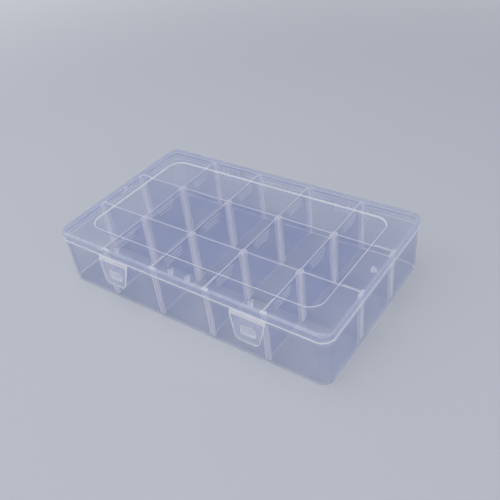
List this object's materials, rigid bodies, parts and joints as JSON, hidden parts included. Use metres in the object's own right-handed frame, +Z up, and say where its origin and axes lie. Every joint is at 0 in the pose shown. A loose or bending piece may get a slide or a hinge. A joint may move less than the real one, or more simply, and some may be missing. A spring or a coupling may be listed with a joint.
{
  "type": "compartment organizer box",
  "caption": "Flat rectangular see-through plastic organizer box with a grid of compartments, lift-out cross dividers, a hinged lid and flap latches on the front.",
  "frame": {"origin": "middle of the tray's flat underside", "axes": "+X along the box to the right as seen from the latches, +Y towards the hinges, +Z up"},
  "size_m": [0.2754, 0.1745, 0.0555],
  "materials": {
    "clear_tray": "moulded natural polypropylene, translucent, lightly polished",
    "clear_lid": "moulded natural polypropylene, translucent, lightly polished",
    "clear_latch": "moulded natural polypropylene, translucent, lightly polished",
    "clear_divider": "moulded natural polypropylene, translucent, satin"
  },
  "bodies": {
    "tray": {"base_tray": "clear_tray", "divider_1_front": "clear_divider", "divider_1_middle": "clear_divider", "divider_1_back": "clear_divider", "divider_2_front": "clear_divider", "divider_2_middle": "clear_divider", "divider_2_back": "clear_divider", "divider_3_front": "clear_divider", "divider_3_middle": "clear_divider", "divider_3_back": "clear_divider", "divider_4_front": "clear_divider", "divider_4_middle": "clear_divider", "divider_4_back": "clear_divider"},
    "lid": {"lid": "clear_lid"},
    "latch_left": {"latch_left": "clear_latch"},
    "latch_right": {"latch_right": "clear_latch"}
  },
  "joints": [
    {"name": "lid_hinge", "type": "hinge", "parent": "tray", "child": "lid", "pos_m": [0, 0.0843, 0.0357], "axis": [-1, 0, 0], "range_deg": [0, 180]},
    {"name": "latch_left_hinge", "type": "hinge", "parent": "lid", "child": "latch_left", "pos_m": [-0.0692, -0.08253, 0.0466], "axis": [-1, 0, 0], "range_deg": [0, 100]},
    {"name": "latch_right_hinge", "type": "hinge", "parent": "lid", "child": "latch_right", "pos_m": [0.0692, -0.08253, 0.0466], "axis": [-1, 0, 0], "range_deg": [0, 100]}
  ]
}
